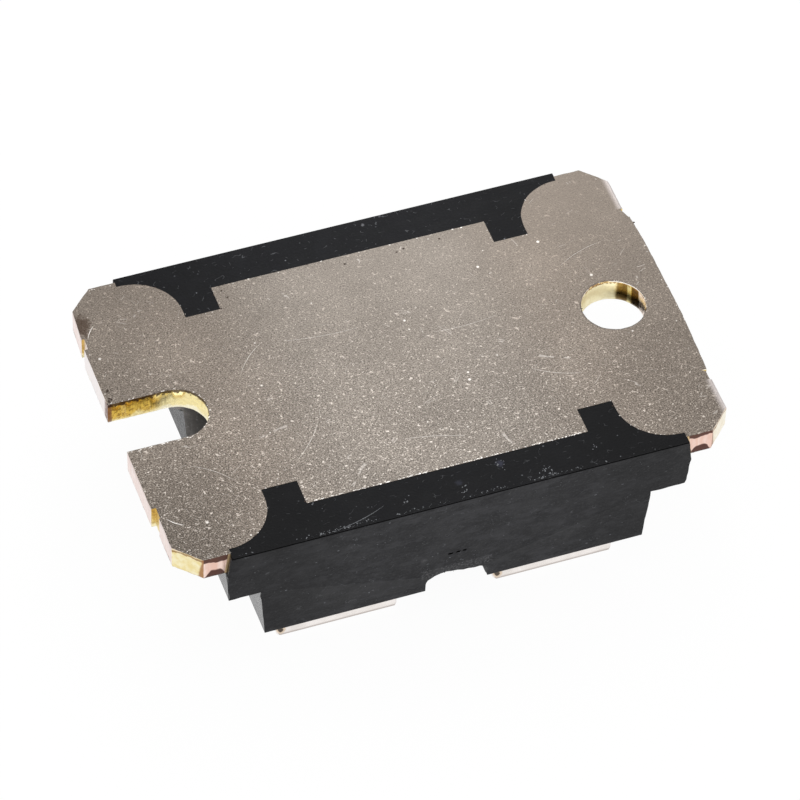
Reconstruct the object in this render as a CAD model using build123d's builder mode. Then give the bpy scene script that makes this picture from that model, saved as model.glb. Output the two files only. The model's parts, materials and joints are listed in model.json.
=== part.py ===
from build123d import *

import os
from math import cos, radians, tan

os.makedirs("parts", exist_ok=True)

# Dual rectifier diode module: a four-terminal screw power package of 38 mm length.
# It lies on its terminals with the base plate up. Z = 0 is the plane of the four
# terminal faces, +Z points to the heat sink, +X to the end with the round hole.
# All sizes are in millimetres.

# ---- heights, from the base face down and from the terminal faces up ----
overall_height = 12.0
plate_thickness = 2.0
skirt_depth = 4.5
body_depth = 9.05
terminal_thickness = 0.8

# ---- base plate ----
plate_length = 38.2
plate_width = 24.4
end_notch_start = 7.15
end_notch_width = 0.9
end_notch_depth = 0.4
corner_set_back = 0.25
corner_chamfer = 1.6
plate_waist_width = 19.5
ear_pocket_inner = 9.55
ear_pocket_outer = 11.95
ear_pocket_floor = 7.77
lobe_radius = 3.37
lobe_top = 11.8
mounting_pitch = 30.2
mounting_hole_diameter = 4.2
mounting_slot_width = 4.2
plate_edge_round = 0.35

# ---- moulded housing ----
housing_length_at_base = 30.9
housing_width_at_base = 25.3
housing_length_at_parting = 31.5
housing_width_at_parting = 25.0
housing_length_at_ledge = 31.2
housing_width_at_ledge = 24.6
tower_length_at_ledge = 26.4
tower_length_at_end = 25.8
tower_width_at_end = 24.2
housing_edge_round = 0.12
screw_recess_radius = 4.2
cross_channel_width = 4.3
cross_channel_depth = 1.3
channel_corner_round = 0.6
pad_length = 9.4
pad_outer_edge = 10.15

# ---- terminals ----
terminal_pitch_x = 15.0
terminal_pitch_y = 12.7
terminal_width = 8.3
terminal_outer_edge = 10.3
terminal_shoulder = 3.2
terminal_gap = 3.6
terminal_hole_diameter = 4.4
terminal_corner_chamfer = 0.2
bend_inner_radius = 0.4
leg_width = 3.0
foot_side_margin = 0.3
foot_reach = 4.6

# ---- captive nuts ----
nut_across_flats = 7.0
nut_thickness = 3.2
nut_minor_diameter = 3.3
nut_face_diameter = 6.7
nut_chamfer_angle = 30
nut_side_clearance = 0.1
nut_end_clearance = 0.15
screw_clearance_diameter = 4.5
screw_clearance_depth = 6.3

# ---- insulating substrate, chips and wires ----
substrate_length = 19.0
substrate_width = 18.0
plate_solder_thickness = 0.1
back_copper_thickness = 0.3
ceramic_thickness = 0.63
track_thickness = 0.3
ceramic_margin = 0.6
track_gap = 0.9
cathode_track_end = 2.1
chip_size = 6.0
chip_thickness = 0.35
chip_solder_thickness = 0.08
chip_center_x = -1.6
foot_solder_thickness = 0.1
wire_diameter = 0.5
wire_pitch = 1.0
wires_per_chip = 5
wire_foot_length = 0.8
wire_flat_depth = 0.06
wire_loop_height = 1.5
wire_bend_radius = 0.7
wire_chip_inset = 0.4
wire_landing_gap = 0.6

# ---- levels worked out from the sizes above ----
plate_inner_z = overall_height - plate_thickness
ledge_z = overall_height - skirt_depth
body_z = overall_height - body_depth
back_copper_top_z = plate_inner_z - plate_solder_thickness
ceramic_top_z = back_copper_top_z - back_copper_thickness
track_top_z = ceramic_top_z - ceramic_thickness
track_face_z = track_top_z - track_thickness
chip_top_z = track_face_z - chip_solder_thickness
chip_face_z = chip_top_z - chip_thickness
foot_top_z = track_face_z - foot_solder_thickness
pocket_floor_z = terminal_thickness + nut_thickness + nut_end_clearance
mounting_x = mounting_pitch / 2
SIDES = {"front": -1, "rear": 1}
ENDS = {"cathode": -1, "anode": 1}


# ---------------------------------------------------------------- base plate
end_x = plate_length / 2
corner_x = end_x - corner_set_back
notch_x = end_x - end_notch_depth
notch_end = end_notch_start + end_notch_width
side_y = plate_width / 2
tip_x = housing_length_at_base / 2

with BuildPart() as base_plate:
    with BuildSketch(Plane.XY.offset(plate_inner_z)):
        with BuildLine():
            Polyline(
                (0, 0),
                (end_x, 0),
                (end_x, end_notch_start),
                (notch_x, end_notch_start),
                (notch_x, notch_end),
                (corner_x, notch_end),
                (corner_x, side_y - corner_chamfer),
                (corner_x - corner_chamfer, side_y),
                (tip_x, side_y),
                (tip_x, lobe_top),
                (ear_pocket_outer + lobe_radius, lobe_top),
            )
            RadiusArc(
                (ear_pocket_outer + lobe_radius, lobe_top),
                (ear_pocket_outer, lobe_top - lobe_radius),
                -lobe_radius,
            )
            Polyline(
                (ear_pocket_outer, lobe_top - lobe_radius),
                (ear_pocket_outer, ear_pocket_floor),
                (ear_pocket_inner, ear_pocket_floor),
                (ear_pocket_inner, plate_waist_width / 2),
                (0, plate_waist_width / 2),
                (0, 0),
            )
        make_face()
        mirror(about=Plane.YZ)
        mirror(about=Plane.XZ)
    extrude(amount=plate_thickness)
    inner_edges = base_plate.edges().group_by(Axis.Z)[0]
    fillet(inner_edges.filter_by(lambda edge: abs(edge.center().X) > tip_x), plate_edge_round)

    # round hole at the anode end, open slot at the cathode end
    with BuildSketch(Plane.XY.offset(plate_inner_z)):
        with Locations((mounting_x, 0)):
            Circle(mounting_hole_diameter / 2)
        with Locations((-mounting_x, 0)):
            Circle(mounting_slot_width / 2)
        with Locations((-(mounting_x + end_x) / 2, 0)):
            Rectangle(end_x - mounting_x, mounting_slot_width)
    extrude(amount=plate_thickness, mode=Mode.SUBTRACT)
base_plate.part.label = "base_plate"
export_step(base_plate.part, "parts/base_plate.step")


# ---------------------------------------------------------------- substrate
with BuildPart() as substrate_solder:
    with BuildSketch(Plane.XY.offset(back_copper_top_z)):
        Rectangle(substrate_length - 2 * ceramic_margin, substrate_width - 2 * ceramic_margin)
    extrude(amount=plate_solder_thickness)
substrate_solder.part.label = "substrate_solder"
export_step(substrate_solder.part, "parts/substrate_solder.step")

with BuildPart() as substrate_back_copper:
    with BuildSketch(Plane.XY.offset(ceramic_top_z)):
        Rectangle(substrate_length - 2 * ceramic_margin, substrate_width - 2 * ceramic_margin)
    extrude(amount=back_copper_thickness)
substrate_back_copper.part.label = "substrate_back_copper"
export_step(substrate_back_copper.part, "parts/substrate_back_copper.step")

with BuildPart() as ceramic_substrate:
    with BuildSketch(Plane.XY.offset(track_top_z)):
        Rectangle(substrate_length, substrate_width)
    extrude(amount=ceramic_thickness)
ceramic_substrate.part.label = "ceramic_substrate"
export_step(ceramic_substrate.part, "parts/ceramic_substrate.step")

# Each diode has a cathode track under its chip and an anode track beside it.
track_outer_x = substrate_length / 2 - ceramic_margin
track_outer_y = substrate_width / 2 - ceramic_margin
track_width = track_outer_y - track_gap / 2
track_center_y = (track_outer_y + track_gap / 2) / 2
track_spans = {
    "cathode": (-track_outer_x, cathode_track_end),
    "anode": (cathode_track_end + track_gap, track_outer_x),
}


def make_track(side, end):
    """Copper track of one terminal, on the ceramic's inner face."""
    low_x, high_x = track_spans[end]
    with BuildPart() as track:
        with BuildSketch(Plane.XY.offset(track_face_z)):
            with Locations(((low_x + high_x) / 2, SIDES[side] * track_center_y)):
                Rectangle(high_x - low_x, track_width)
        extrude(amount=track_thickness)
    track.part.label = f"{side}_{end}_track"
    export_step(track.part, f"parts/{side}_{end}_track.step")
    return track


# ---------------------------------------------------------------- diode chips
def make_chip_layer(side, name, face_z, thickness):
    """Square layer centred on the chip: its solder or the silicon itself."""
    with BuildPart() as layer:
        with BuildSketch(Plane.XY.offset(face_z)):
            with Locations((chip_center_x, SIDES[side] * track_center_y)):
                Rectangle(chip_size, chip_size)
        extrude(amount=thickness)
    layer.part.label = f"{side}_{name}"
    export_step(layer.part, f"parts/{side}_{name}.step")
    return layer


# ---------------------------------------------------------------- bond wires
def make_bond_wires(side, chip, track):
    """Row of wires from the chip's face to the anode track, with flattened feet."""
    wire_rise = wire_diameter / 2 - wire_flat_depth
    chip_foot_x = chip_center_x + chip_size / 2 - wire_chip_inset
    landing_x = cathode_track_end + track_gap + wire_landing_gap
    loop_z = track_face_z - wire_loop_height
    loop_inset = (landing_x - chip_foot_x) / 4
    first_y = SIDES[side] * track_center_y - wire_pitch * (wires_per_chip - 1) / 2
    with BuildPart() as wires:
        for index in range(wires_per_chip):
            wire_plane = Plane.XZ.offset(-(first_y + index * wire_pitch))
            with BuildLine(wire_plane) as wire_path:
                FilletPolyline(
                    (chip_foot_x - wire_foot_length, chip_face_z - wire_rise),
                    (chip_foot_x, chip_face_z - wire_rise),
                    (chip_foot_x + loop_inset, loop_z),
                    (landing_x - loop_inset, loop_z),
                    (landing_x, track_face_z - wire_rise),
                    (landing_x + wire_foot_length, track_face_z - wire_rise),
                    radius=wire_bend_radius,
                )
            with BuildSketch(Plane(wire_path.line @ 0, z_dir=wire_path.line % 0)):
                Circle(wire_diameter / 2)
            sweep(path=wire_path.line)
        add(chip.part, mode=Mode.SUBTRACT)
        add(track.part, mode=Mode.SUBTRACT)
    wires.part.label = f"{side}_bond_wires"
    export_step(wires.part, f"parts/{side}_bond_wires.step")
    return wires


# ---------------------------------------------------------------- terminals
leg_center_x = track_outer_x - foot_side_margin - leg_width / 2


def terminal_center(side, end):
    """Axis of one terminal's screw, in plan."""
    return ENDS[end] * terminal_pitch_x / 2, SIDES[side] * terminal_pitch_y / 2


def make_terminal(side, end):
    """Bent strip: foot on its track, leg down through the housing, tab over the nut."""
    half = terminal_thickness / 2
    leg_y = SIDES[side] * (terminal_gap / 2 + half)
    tab_length = terminal_outer_edge - terminal_shoulder
    tab_center = (
        ENDS[end] * terminal_pitch_x / 2,
        SIDES[side] * (terminal_outer_edge + terminal_shoulder) / 2,
    )
    with BuildPart() as terminal:
        with BuildSketch(Plane.YZ.offset(ENDS[end] * leg_center_x - leg_width / 2)):
            with BuildLine():
                FilletPolyline(
                    (SIDES[side] * terminal_shoulder, half),
                    (leg_y, half),
                    (leg_y, foot_top_z - half),
                    (SIDES[side] * foot_reach, foot_top_z - half),
                    radius=bend_inner_radius + half,
                )
            trace(line_width=terminal_thickness)
        extrude(amount=leg_width)
        with BuildSketch(Plane.XY):
            with Locations(tab_center):
                Rectangle(terminal_width, tab_length)
            outer_corners = vertices().sort_by(Axis.Y, reverse=SIDES[side] > 0)[:2]
            chamfer(outer_corners, terminal_corner_chamfer)
            with Locations(terminal_center(side, end)):
                Circle(terminal_hole_diameter / 2, mode=Mode.SUBTRACT)
        extrude(amount=terminal_thickness)
    terminal.part.label = f"{side}_{end}_terminal"
    export_step(terminal.part, f"parts/{side}_{end}_terminal.step")
    return terminal


def make_terminal_solder(side, end):
    """Thin solder layer between a terminal's foot and its track."""
    inner_y = terminal_gap / 2 + terminal_thickness + bend_inner_radius
    center_y = SIDES[side] * (inner_y + foot_reach) / 2
    with BuildPart() as solder:
        with BuildSketch(Plane.XY.offset(foot_top_z)):
            with Locations((ENDS[end] * leg_center_x, center_y)):
                Rectangle(leg_width, foot_reach - inner_y)
        extrude(amount=foot_solder_thickness)
    solder.part.label = f"{side}_{end}_terminal_solder"
    export_step(solder.part, f"parts/{side}_{end}_terminal_solder.step")
    return solder


# ---------------------------------------------------------------- captive nuts
def make_nut(side, end):
    """Hexagon nut on the tab's inner face, corners chamfered, thread as a plain bore."""
    center_x, center_y = terminal_center(side, end)
    corner_radius = nut_across_flats / 2 / cos(radians(30))
    face_radius = nut_face_diameter / 2
    chamfer_height = (corner_radius - face_radius) * tan(radians(nut_chamfer_angle))
    nut_plane = Plane(origin=(center_x, center_y, terminal_thickness))
    with BuildPart() as nut:
        with BuildSketch(nut_plane):
            RegularPolygon(nut_across_flats / 2, side_count=6, major_radius=False)
            Circle(nut_minor_diameter / 2, mode=Mode.SUBTRACT)
        extrude(amount=nut_thickness)
        with BuildSketch(Plane(nut_plane.origin, x_dir=(1, 0, 0), z_dir=(0, -1, 0))):
            Polygon(
                (0, 0),
                (face_radius, 0),
                (corner_radius, chamfer_height),
                (corner_radius, nut_thickness - chamfer_height),
                (face_radius, nut_thickness),
                (0, nut_thickness),
                align=None,
            )
        revolve(axis=Axis(nut_plane.origin, (0, 0, 1)), mode=Mode.INTERSECT)
    nut.part.label = f"{side}_{end}_nut"
    export_step(nut.part, f"parts/{side}_{end}_nut.step")
    return nut


# ---------------------------------------------------------------- one set per terminal
embedded_parts = [base_plate, substrate_solder, substrate_back_copper, ceramic_substrate]
for side in SIDES:
    tracks = {}
    for end in ENDS:
        tracks[end] = make_track(side, end)
        embedded_parts.append(tracks[end])
        embedded_parts.append(make_terminal(side, end))
        embedded_parts.append(make_terminal_solder(side, end))
        make_nut(side, end)
    chip = make_chip_layer(side, "diode_chip", chip_face_z, chip_thickness)
    embedded_parts.append(chip)
    embedded_parts.append(make_chip_layer(side, "chip_solder", chip_top_z, chip_solder_thickness))
    embedded_parts.append(make_bond_wires(side, chip, tracks["anode"]))


# ---------------------------------------------------------------- housing
# One moulding: a band round the plate's edge, a skirt and a narrower tower below it.
base_outline = (overall_height, housing_length_at_base, housing_width_at_base)
parting_outline = (plate_inner_z, housing_length_at_parting, housing_width_at_parting)
ledge_outline = (ledge_z, housing_length_at_ledge, housing_width_at_ledge)
tower_root_outline = (ledge_z, tower_length_at_ledge, housing_width_at_ledge)
tower_end_outline = (body_z, tower_length_at_end, tower_width_at_end)
blocks = [
    (base_outline, parting_outline),
    (parting_outline, ledge_outline),
    (tower_root_outline, tower_end_outline),
]
pad_inner_edge = terminal_gap / 2 + terminal_thickness
pad_centers = [
    (end * terminal_pitch_x / 2, side * (pad_inner_edge + pad_outer_edge) / 2)
    for end in ENDS.values()
    for side in SIDES.values()
]
nut_centers = [terminal_center(side, end) for side in SIDES for end in ENDS]

with BuildPart() as housing:
    for block in blocks:
        for z, length, width in block:
            with BuildSketch(Plane.XY.offset(z)):
                Rectangle(length, width)
        loft(ruled=True)
    lower_face_edges = housing.faces().sort_by(Axis.Z)[0].edges()
    fillet(lower_face_edges, housing_edge_round)

    # four pads under the tabs
    with BuildSketch(Plane.XY.offset(terminal_thickness)):
        with Locations(pad_centers):
            Rectangle(pad_length, pad_outer_edge - pad_inner_edge)
    extrude(amount=body_z - terminal_thickness)

    # channel across the middle, between the two pairs of terminals
    channel_height = cross_channel_depth + body_z
    with BuildSketch(Plane.XZ):
        with Locations((0, channel_height / 2)):
            Rectangle(cross_channel_width, channel_height)
        fillet(vertices().group_by(Axis.Z)[-1], channel_corner_round)
    extrude(amount=housing_width_at_base, both=True, mode=Mode.SUBTRACT)

    # open recess at each end for the mounting screw's head
    with BuildSketch(Plane.XY):
        for end in ENDS.values():
            with Locations((end * mounting_x, 0)):
                Circle(screw_recess_radius)
            with Locations((end * (mounting_x + plate_length / 2) / 2, 0)):
                Rectangle(plate_length / 2 - mounting_x, 2 * screw_recess_radius)
    extrude(amount=overall_height, mode=Mode.SUBTRACT)

    # nut pockets, and room for the screw's tip past each nut
    with BuildSketch(Plane.XY.offset(terminal_thickness)):
        with Locations(nut_centers):
            RegularPolygon(
                nut_across_flats / 2 + nut_side_clearance, side_count=6, major_radius=False
            )
    extrude(amount=pocket_floor_z - terminal_thickness, mode=Mode.SUBTRACT)
    with BuildSketch(Plane.XY.offset(terminal_thickness)):
        with Locations(nut_centers):
            Circle(screw_clearance_diameter / 2)
    extrude(amount=screw_clearance_depth - terminal_thickness, mode=Mode.SUBTRACT)

    for embedded in embedded_parts:
        add(embedded.part, mode=Mode.SUBTRACT)
housing.part.label = "housing"
export_step(housing.part, "parts/housing.step")
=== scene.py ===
import json
import math
import random

import bmesh
import bpy
from mathutils import Matrix, Vector, noise
from mathutils.bvhtree import BVHTree


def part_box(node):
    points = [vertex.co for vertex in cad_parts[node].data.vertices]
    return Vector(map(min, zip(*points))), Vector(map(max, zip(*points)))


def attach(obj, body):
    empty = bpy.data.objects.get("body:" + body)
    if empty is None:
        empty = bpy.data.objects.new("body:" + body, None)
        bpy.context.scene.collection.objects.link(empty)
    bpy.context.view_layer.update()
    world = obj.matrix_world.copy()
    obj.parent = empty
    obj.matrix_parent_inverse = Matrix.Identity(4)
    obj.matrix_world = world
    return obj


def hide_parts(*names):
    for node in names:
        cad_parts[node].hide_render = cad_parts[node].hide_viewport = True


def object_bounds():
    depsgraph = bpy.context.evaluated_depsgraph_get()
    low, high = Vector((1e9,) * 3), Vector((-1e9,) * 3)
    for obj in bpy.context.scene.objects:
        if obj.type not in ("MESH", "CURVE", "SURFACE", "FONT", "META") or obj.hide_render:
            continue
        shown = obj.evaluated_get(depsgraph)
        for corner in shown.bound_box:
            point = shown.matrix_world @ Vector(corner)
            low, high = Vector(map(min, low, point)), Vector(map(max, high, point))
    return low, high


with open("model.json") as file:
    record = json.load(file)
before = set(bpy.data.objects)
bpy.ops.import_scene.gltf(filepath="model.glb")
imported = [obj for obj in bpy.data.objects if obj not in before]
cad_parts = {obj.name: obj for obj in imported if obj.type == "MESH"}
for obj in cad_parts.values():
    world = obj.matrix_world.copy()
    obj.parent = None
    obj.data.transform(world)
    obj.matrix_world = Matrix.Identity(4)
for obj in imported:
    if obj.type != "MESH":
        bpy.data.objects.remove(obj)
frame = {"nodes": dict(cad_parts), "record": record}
cad_low, cad_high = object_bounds()

# The noise that bends edges starts from a fixed seed, so every run makes the same shapes.
NOISE_SEED = 1
noise.seed_set(NOISE_SEED)

# Lengths in this script are in millimetres and are turned into metres where a mesh is finished.
MM = 0.001
NODES = frame["nodes"]
SIDES = {"front": -1, "rear": 1}
ENDS = {"cathode": -1, "anode": 1}


def box_mm(node):
    """Lowest and highest corner of a CAD node, in millimetres."""
    low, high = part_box(node)
    return low / MM, high / MM


plate_low, plate_high = box_mm("base_plate")
housing_high = box_mm("housing")[1]
tab_low = box_mm("front_cathode_terminal")[0]
BASE_FACE = plate_high.z
PLATE_INNER = plate_low.z
END_X = plate_high.x
SIDE_Y = plate_high.y
HOUSING_Y = housing_high.y
MOUNTING_X = 15.1
MOUNTING_RADIUS = 2.1
NOTCH_INNER = 7.15
NOTCH_OUTER = 8.05


# ---------------------------------------------------------------- node helpers
def node(tree, kind, links=None, **settings):
    """New shader node: settings are its properties, links its inputs by name or index."""
    made = tree.nodes.new(kind)
    for key, value in settings.items():
        setattr(made, key, value)
    for name, value in (links or {}).items():
        if isinstance(value, bpy.types.NodeSocket):
            tree.links.new(value, made.inputs[name])
        else:
            made.inputs[name].default_value = value
    return made


def math_node(operation, first, second=0.0):
    """Math node of two values, in the tree of the one that is a socket."""
    tree = (first if isinstance(first, bpy.types.NodeSocket) else second).id_data
    return node(tree, "ShaderNodeMath", {0: first, 1: second}, operation=operation).outputs[0]


def times(first, second):
    return math_node("MULTIPLY", first, second)


def plus(first, second):
    return math_node("ADD", first, second)


def minus(first, second):
    return math_node("SUBTRACT", first, second)


def larger(first, second):
    return math_node("MAXIMUM", first, second)


def size_of(value):
    return math_node("ABSOLUTE", value)


def spread(value, low, high, to_low=0.0, to_high=1.0):
    """Value between low and high, stretched to to_low ... to_high with soft ends."""
    links = {"Value": value, "From Min": low, "From Max": high, "To Min": to_low, "To Max": to_high}
    made = node(value.id_data, "ShaderNodeMapRange", links, interpolation_type="SMOOTHSTEP")
    return made.outputs[0]


def band(value, low, high, soft):
    """1 where value lies between low and high, fading to 0 over soft on both sides."""
    return times(spread(value, low - soft, low), spread(value, high, high + soft, 1.0, 0.0))


def vector_node(operation, place, links=None):
    """Vector math on a place or a colour; links are its further inputs."""
    links = {0: place, **(links or {})}
    return node(place.id_data, "ShaderNodeVectorMath", links, operation=operation).outputs


def scaled(colour, factor):
    """Colour multiplied by a value."""
    return vector_node("SCALE", colour, {"Scale": factor})[0]


def distance(place, point):
    """How far a place is from a fixed point."""
    return vector_node("DISTANCE", place, {1: point})["Value"]


def mapped(place, **settings):
    """Place turned by Rotation or stretched by Scale."""
    return node(place.id_data, "ShaderNodeMapping", {"Vector": place, **settings}).outputs[0]


def axes_of(place):
    return node(place.id_data, "ShaderNodeSeparateXYZ", {"Vector": place}).outputs


def blend(factor, first, second, how="MIX"):
    """Colour first turning into colour second with factor."""
    made = node(factor.id_data, "ShaderNodeMix", {0: factor}, data_type="RGBA", blend_type=how)
    for index, value in ((6, first), (7, second)):
        if isinstance(value, bpy.types.NodeSocket):
            factor.id_data.links.new(value, made.inputs[index])
        else:
            made.inputs[index].default_value = (*value, 1.0)
    return made.outputs[2]


def noise_node(place, scale, detail=3.0, roughness=0.55, stretch=None):
    """Noise of so many cells a millimetre; stretch scales the three axes of the pattern."""
    if stretch:
        place = mapped(place, Scale=stretch)
    links = {"Vector": place, "Scale": scale, "Detail": detail, "Roughness": roughness}
    return node(place.id_data, "ShaderNodeTexNoise", links).outputs["Fac"]


def new_group(name, inputs, outputs):
    """Node group with float or vector inputs {name: default} and outputs {name: socket kind}."""
    group = bpy.data.node_groups.new(name, "ShaderNodeTree")
    for label, default in inputs.items():
        kind = "NodeSocketVector" if default is None else "NodeSocketFloat"
        socket = group.interface.new_socket(name=label, in_out="INPUT", socket_type=kind)
        if default is not None:
            socket.default_value = default
    for label, kind in outputs.items():
        group.interface.new_socket(name=label, in_out="OUTPUT", socket_type=kind)
    entry = group.nodes.new("NodeGroupInput").outputs
    result = group.nodes.new("NodeGroupOutput").inputs
    return group, entry, result


# ---------------------------------------------------------------- shared effects
def make_specks():
    """Small round specks scattered at random: dust on plastic, glints and pits on metal."""
    inputs = {"Place": None, "Per mm": 2.0, "Share": 0.3, "Size": 0.2}
    group, entry, result = new_group("specks", inputs, {"Mask": "NodeSocketFloat"})
    links = {"Vector": entry["Place"], "Scale": entry["Per mm"], "Randomness": 1.0}
    cells = node(group, "ShaderNodeTexVoronoi", links, feature="F1")
    chance = node(group, "ShaderNodeSeparateColor", {"Color": cells.outputs["Color"]}).outputs
    kept = math_node("LESS_THAN", chance[0], entry["Share"])
    reach = times(entry["Size"], plus(chance[1], 0.3))
    edge = math_node("DIVIDE", cells.outputs["Distance"], reach)
    inside = spread(edge, 0.6, 1.0, 1.0, 0.0)
    group.links.new(times(inside, kept), result["Mask"])
    return group


def make_scratches():
    """Short, thin, slightly bent scratches in one direction, broken up by a patchy mask."""
    inputs = {"Place": None, "Turn": 0.0, "Per mm": 1.0, "Length": 6.0, "Width": 0.01, "Share": 0.5}
    group, entry, result = new_group("scratches", inputs, {"Mask": "NodeSocketFloat"})
    turn = node(group, "ShaderNodeCombineXYZ", {"Z": entry["Turn"]}).outputs[0]
    turned = mapped(entry["Place"], Rotation=turn)
    along = math_node("DIVIDE", 1.0, entry["Length"])
    squeeze = node(group, "ShaderNodeCombineXYZ", {"X": along, "Y": 1.0, "Z": 1.0}).outputs[0]
    lines = noise_node(mapped(turned, Scale=squeeze), entry["Per mm"], 1.0)
    offset = size_of(minus(lines, 0.5))
    thin = math_node("LESS_THAN", offset, entry["Width"])
    patches = noise_node(turned, 0.9, 2.0)
    threshold = minus(1.0, entry["Share"])
    patch = math_node("GREATER_THAN", patches, threshold)
    group.links.new(times(thin, patch), result["Mask"])
    return group


def make_patches():
    """Soft uneven patches at two scales: tarnish, handling marks, uneven gloss."""
    inputs = {"Place": None, "Per mm": 0.2, "Low": 0.4, "High": 0.65}
    group, entry, result = new_group("patches", inputs, {"Mask": "NodeSocketFloat"})
    coarse = noise_node(entry["Place"], entry["Per mm"], 4.0, 0.6)
    group.links.new(spread(coarse, entry["Low"], entry["High"]), result["Mask"])
    return group


def make_flecks():
    """Short curled bright threads, as on a blasted and plated surface."""
    inputs = {"Place": None, "Per mm": 3.0, "Width": 0.05, "Share": 0.45}
    group, entry, result = new_group("flecks", inputs, {"Mask": "NodeSocketFloat"})
    lines = noise_node(entry["Place"], entry["Per mm"], 1.0, 0.5, stretch=(0.8, 1.1, 1.0))
    offset = size_of(minus(lines, 0.5))
    thin = spread(math_node("DIVIDE", offset, entry["Width"]), 0.4, 1.0, 1.0, 0.0)
    often = times(entry["Per mm"], 1.35)
    pieces = noise_node(entry["Place"], often, 1.0, 0.5)
    threshold = minus(1.0, entry["Share"])
    over = minus(pieces, threshold)
    group.links.new(times(thin, spread(over, 0.0, 0.06)), result["Mask"])
    return group


FLECKS = make_flecks()
SPECKS = make_specks()
SCRATCHES = make_scratches()
PATCHES = make_patches()


def effect(group, place, **values):
    """Places a shared effect; values name its inputs, with _ for a space."""
    made = node(place.id_data, "ShaderNodeGroup", {"Place": place}, node_tree=group)
    for name, value in values.items():
        made.inputs[name.replace("_", " ")].default_value = value
    return made.outputs["Mask"]


# ---------------------------------------------------------------- materials
def new_material(name, metallic=0.0, specular=0.5, colour=(0.5, 0.5, 0.5)):
    """Material with a Principled shader; returns it, its shader and coordinates in millimetres."""
    material = bpy.data.materials.new(name)
    material.use_nodes = True
    material.diffuse_color = (*colour, 1.0)
    tree = material.node_tree
    tree.nodes.clear()
    shader = node(tree, "ShaderNodeBsdfPrincipled")
    shader.inputs["Metallic"].default_value = metallic
    shader.inputs["Specular IOR Level"].default_value = specular
    node(tree, "ShaderNodeOutputMaterial", {"Surface": shader.outputs[0]})
    coordinates = node(tree, "ShaderNodeTexCoord").outputs["Object"]
    return material, shader, mapped(coordinates, Scale=(1 / MM, 1 / MM, 1 / MM))


def finish_material(shader, colour, roughness, height, depth):
    """Joins colour, roughness and a height in depth millimetres to the shader."""
    tree = shader.id_data
    tree.links.new(colour, shader.inputs["Base Color"])
    tree.links.new(roughness, shader.inputs["Roughness"])
    links = {"Height": height, "Distance": depth * MM, "Strength": 1.0}
    bump = node(tree, "ShaderNodeBump", links).outputs[0]
    tree.links.new(bump, shader.inputs["Normal"])


def make_nickel():
    """Matt nickel over a blasted face: glittering grain, flecks, glints, scratches, a stain,
    painted light and shade.
    """
    material, shader, place = new_material("matt_nickel", 1.0, colour=(0.29, 0.26, 0.23))
    x, y, _ = axes_of(place)
    turned = mapped(place, Rotation=(0.0, 0.0, 0.32))
    lean = plus(times(x, -0.012), 0.92)
    coarse = plus(times(y, -0.043), lean)
    cloud = noise_node(place, 0.16, 3.0, 0.55)
    base = blend(spread(cloud, 0.35, 0.7), (0.167, 0.147, 0.128), (0.194, 0.171, 0.149))
    # Painted shade: the nickel darkens a little towards both ends.
    ends = spread(size_of(x), 5.0, 13.0)
    base = blend(ends, base, (1.0, 0.965, 0.935), "MULTIPLY")
    # Painted shade: darker towards the near left corner.
    from_corner = distance(place, (-END_X, -SIDE_Y, BASE_FACE))
    base = scaled(base, spread(from_corner, 0.0, 12.0, 0.72, 1.0))
    # Painted light: lighter towards the rear.
    base = scaled(base, spread(y, -SIDE_Y, SIDE_Y, 0.98, 1.15))
    grain = noise_node(turned, GRAIN_PER_MM, 2.0, 0.6, stretch=(0.7, 1.4, 1.0))
    swing = times(minus(grain, 0.5), GRAIN_SWING)
    fine = effect(FLECKS, turned, Per_mm=7.0, Width=0.06, Share=0.44)
    long_ones = effect(FLECKS, turned, Per_mm=2.4, Width=0.035, Share=0.41)
    flecks = plus(times(fine, FLECK_LIGHT), swing)
    flecks = plus(times(long_ones, FLECK_LIGHT * 1.25), flecks)
    sparkle = effect(SPECKS, turned, Per_mm=3.0, Share=0.07, Size=0.26)
    flecks = plus(times(sparkle, 1.1), flecks)
    level = plus(times(flecks, coarse), 1.0)
    colour = scaled(base, larger(level, 0.5))
    colour = blend(spread(level, 1.7, 3.2, 0.0, 0.4), colour, (0.70, 0.68, 0.65))
    glints = effect(SPECKS, place, Per_mm=1.3, Share=0.16, Size=0.13)
    colour = blend(times(glints, 0.75), colour, (0.80, 0.76, 0.71))
    for turn, share in ((0.35, 0.36), (1.15, 0.36), (2.2, 0.37), (2.85, 0.36)):
        lines = effect(
            SCRATCHES, place, Turn=turn, Per_mm=0.7, Length=7.0, Width=0.003, Share=share
        )
        colour = blend(times(lines, 0.35), colour, (0.62, 0.58, 0.54))
    offset = vector_node("SUBTRACT", place, {1: (0.45 - END_X, SIDE_Y - 3.05, BASE_FACE)})[0]
    shrunk = vector_node("MULTIPLY", offset, {1: (1.3, 0.75, 1.0)})[0]
    reach = vector_node("LENGTH", shrunk)["Value"]
    torn = noise_node(place, 1.7, 4.0, 0.7)
    ragged = plus(reach, times(torn, 1.5))
    stain = spread(ragged, 1.2, 1.7, 0.8, 0.0)
    colour = blend(stain, colour, (0.07, 0.045, 0.032))
    # Painted highlight: the rolled outer corners at the anode end turn pale, standing for the
    # rounded rim's reflection.
    outer = spread(size_of(y), NOTCH_OUTER - 0.08, NOTCH_OUTER)
    roll = times(outer, spread(x, END_X - 0.85, END_X - 0.05, 0.0, 0.9))
    colour = blend(roll, colour, (0.86, 0.79, 0.78))
    rough = spread(grain, 0.3, 0.7, 0.27, 0.36)
    finish_material(shader, colour, rough, grain, 0.012)
    return material


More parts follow.
